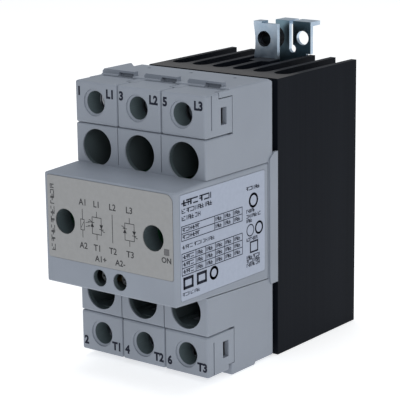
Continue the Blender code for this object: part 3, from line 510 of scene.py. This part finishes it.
def front_markings():
    """The wiring diagram, the terminal names, the lamp's word and a column of strokes on the front label."""
    page = Drawing()
    top_row, bottom_row = 58.9, 44.6
    for words, x in (("A1", -10.5), ("L1", -4.7), ("L2", 1.9), ("L3", 8.8)):
        page.text(words, (x, top_row), 2.1, 0.04)
    for words, x in (("A2", -10.6), ("T1", -4.7), ("T2", 1.8), ("T3", 8.9)):
        page.text(words, (x, bottom_row), 2.1, 0.04)
    page.text("A1+", (-3.4, 41.1), 2.0, 0.05)
    page.text("A2-", (4.7, 41.1), 2.0, 0.05)
    page.text("ON", (23.5, 45.1), 1.8, 0.05)
    page.line((-10.8, 56.5), (-10.8, 53.2))
    page.box((-11.6, 49.7), (-10.1, 53.2))
    page.line((-11.6, 50.2), (-10.1, 52.7), 0.16)
    page.line((-10.8, 49.7), (-10.8, 47.3))
    thyristor(page, -4.8, 56.4, 47.3, 1.9)
    page.line((1.75, 56.4), (1.75, 47.3))
    thyristor(page, 8.8, 56.4, 47.3, 1.9)
    for z in (51.4, 52.7):
        page.path([(-9.4, z - 0.4), (-8.0, z)], 0.18)
        page.polygon([(-8.2, z - 0.35), (-7.5, z + 0.15), (-8.35, z + 0.3)])
    column, z = -23.7, 41.0
    stroke_pitch, word_gap = 1.12, 0.7
    for count in (2, 5, 5, 6):
        for k in range(count):
            glyph(page, (column, z + 0.5), 1.35, k + count, False, 0.27)
            z += stroke_pitch
        z += word_gap
    page.done("front_markings", face_front(FACE_Y), "body", GREY_INK)


def glyph(page, centre, size, kind, upright=True, width=0.0):
    """A tiny mark in place of a letter: a stem and one or two short arms, meaning nothing."""
    width = width or 0.2 * size
    u, v = centre
    half, rise = 0.28 * size, 0.5 * size
    strokes = [((-half, -rise), (-half, rise)), ((half, -rise), (half, rise)), ((-half, 0.0), (half, 0.0)),
               ((-half, rise), (half, rise)), ((-half, -rise), (half, -rise))]
    for index in ((0, 3), (1, 2), (0, 4, 2), (3, 4), (0, 1), (2, 3, 1))[kind % 6]:
        (a, b), (c, d) = strokes[index]
        if not upright:
            a, b, c, d = -b, a, -d, c
        page.line((u + a, v + b), (u + c, v + d), width)


def small_print(page, start, middle, words, size, width=0.0):
    """A row of unreadable words, each given by its number of marks."""
    x = start
    for word in words:
        for k in range(word):
            glyph(page, (x + 0.3 * size, middle), size, k * k + k // 3 + word, True, width)
            x += 0.78 * size
        x += 0.55 * size


def table(page, low, high, columns, rows):
    """A ruled table with a short unreadable word in each cell."""
    edges = [low[0]] + columns + [high[0]]
    for x in edges:
        page.line((x, low[1]), (x, high[1]), RULE)
    step = (high[1] - low[1]) / rows
    for k in range(rows + 1):
        page.line((low[0], low[1] + k * step), (high[0], low[1] + k * step), RULE)
    for k in range(rows):
        for index, (left, right) in enumerate(zip(edges, edges[1:])):
            count = max(2, int((right - left - 1.0) / 0.85))
            small_print(page, left + 0.55, low[1] + (k + 0.5) * step, [min(count, LONGEST_WORD)], 1.0, RULE)


def ring(page, centre, radius, width=0.2, sides=20):
    """A circle's outline."""
    points = [(centre[0] + radius * math.cos(2 * math.pi * k / sides),
               centre[1] + radius * math.sin(2 * math.pi * k / sides)) for k in range(sides + 1)]
    page.path(points, width)


def side_markings():
    """The rating plate's ruled tables, rows of unreadable small print and plain rings and boxes."""
    page = Drawing()
    depth = side_low.y / MM            # the label's front edge, in page millimetres
    small_print(page, depth + 0.9, 62.9, [7, 5], 1.5, 0.44)
    small_print(page, depth + 0.9, 60.4, [2, 5, 4, 4], 1.15, 0.28)
    small_print(page, depth + 0.9, 58.1, [2, 4, 3], 1.15, 0.28)
    table(page, (depth + 0.6, 51.0), (depth + 32.0, 55.6), [depth + 17.4, depth + 22.2, depth + 27.2], 2)
    small_print(page, depth + 0.8, 48.9, [7, 5, 3, 4], 1.0)
    table(page, (depth + 0.6, 39.9), (depth + 32.0, 46.9),
          [depth + 7.6, depth + 12.6, depth + 17.6, depth + 22.4, depth + 27.2], 3)
    small_print(page, depth + 0.8, 33.7, [5, 2, 4], 0.9)
    ring(page, (depth + 38.2, 56.6), 2.1, 0.75)
    ring(page, (depth + 36.4, 46.9), 1.9, 0.35)
    ring(page, (depth + 41.2, 46.9), 1.9, 0.65)
    page.box((depth + 36.4, 39.4), (depth + 40.4, 42.8), 0.55)
    page.box((depth + 1.6, 35.7), (depth + 5.8, 38.7), 0.95)
    page.box((depth + 8.4, 35.7), (depth + 12.6, 38.7), 0.95)
    ring(page, (depth + 16.8, 37.2), 1.8, 0.85)
    for z, words in ((60.9, [5, 4]), (53.4, [6]), (51.7, [3, 4, 2]), (50.2, [4]), (43.9, [8]), (37.9, [4, 5]),
                     (36.6, [5, 4]), (35.3, [6, 3])):
        small_print(page, depth + 34.4, z, words, 0.95, RULE)
    page.done("side_markings", face_right(SIDE_X), "body", DARK_INK)


def terminal_numbers():
    """Each cap's terminal number and name."""
    for word, number in (("L1", "1"), ("L2", "3"), ("L3", "5"), ("T1", "2"), ("T2", "4"), ("T3", "6")):
        cap, upper = word.lower(), word.startswith("L")
        low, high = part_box("terminal_cap_" + cap)
        middle = (low.x + high.x) / 2 / MM
        page = Drawing()
        height = high.z / MM - 3.4 if upper else low.z / MM + 3.5
        page.text(number, (middle - (7.15 if upper else 6.9), height), 2.8, 0.19, 0.95)
        page.text(word, (middle + (6.15 if upper else 6.5), height), 2.8, 0.19, 0.92)
        page.done("numbers_" + cap, face_front(low.y), "cap_" + cap, DARK_INK)


front_markings()
side_markings()
terminal_numbers()


# ---------------------------------------------------------------- floor, light and camera

def floor():
    """A flat pale floor just under the feet."""
    mesh = bmesh.new()
    bmesh.ops.create_grid(mesh, x_segments=8, y_segments=8, size=6.0)
    data = bpy.data.meshes.new("floor")
    mesh.to_mesh(data)
    mesh.free()
    obj = bpy.data.objects.new("floor", data)
    obj.location = (0.0, 0.0, cad_low.z - FLOOR_GAP)
    data.materials.append(studio_floor("studio_floor", (0.86, 0.86, 0.86), 0.56))
    bpy.context.scene.collection.objects.link(obj)


def lamp(name, place, target, size, power, colour=(1.0, 1.0, 1.0)):
    """A square soft box that looks at a point."""
    data = bpy.data.lights.new(name, "AREA")
    data.shape = "SQUARE"
    data.size = size
    data.energy = power
    data.color = colour
    obj = bpy.data.objects.new(name, data)
    obj.location = place
    aim = Vector(target) - Vector(place)
    obj.rotation_euler = aim.to_track_quat("-Z", "Y").to_euler()
    bpy.context.scene.collection.objects.link(obj)


def camera():
    """The camera at the viewing angle: 38 degrees to the right, 14 degrees down, with a slight roll."""
    yaw, pitch, roll = math.radians(37.96), math.radians(13.81), math.radians(-0.716)
    forward = Vector((-math.sin(yaw) * math.cos(pitch), math.cos(yaw) * math.cos(pitch), -math.sin(pitch)))
    right = Vector((math.cos(yaw), math.sin(yaw), 0.0))
    up = right.cross(forward)
    r = right * math.cos(roll) + up * math.sin(roll)
    u = up * math.cos(roll) - right * math.sin(roll)
    data = bpy.data.cameras.new("camera")
    data.lens = 152.9
    data.sensor_width = 36.0
    data.clip_start = 0.01
    data.clip_end = 50.0
    obj = bpy.data.objects.new("camera", data)
    place = Vector((0.34228, -0.44462, 0.18828))
    turn = Matrix((r, u, -forward)).transposed().to_4x4()
    obj.matrix_world = Matrix.Translation(place) @ turn
    bpy.context.scene.collection.objects.link(obj)
    bpy.context.scene.camera = obj


def studio():
    """An even pale sky, a large soft key from the right front and a soft light from above."""
    world = bpy.data.worlds.new("studio")
    world.use_nodes = True
    background = world.node_tree.nodes["Background"]
    background.inputs["Color"].default_value = (0.92, 0.96, 1.0, 1.0)
    background.inputs["Strength"].default_value = 0.44
    bpy.context.scene.world = world
    bpy.context.scene.view_settings.view_transform = "Standard"
    middle = (0.0, 0.0, 0.05)
    lamp("key", (0.72, -0.60, 0.50), middle, 0.5, 2.75, (0.96, 0.98, 1.0))
    lamp("top", (-0.1, 0.05, 0.9), middle, 0.5, 2.6)


floor()
studio()
camera()
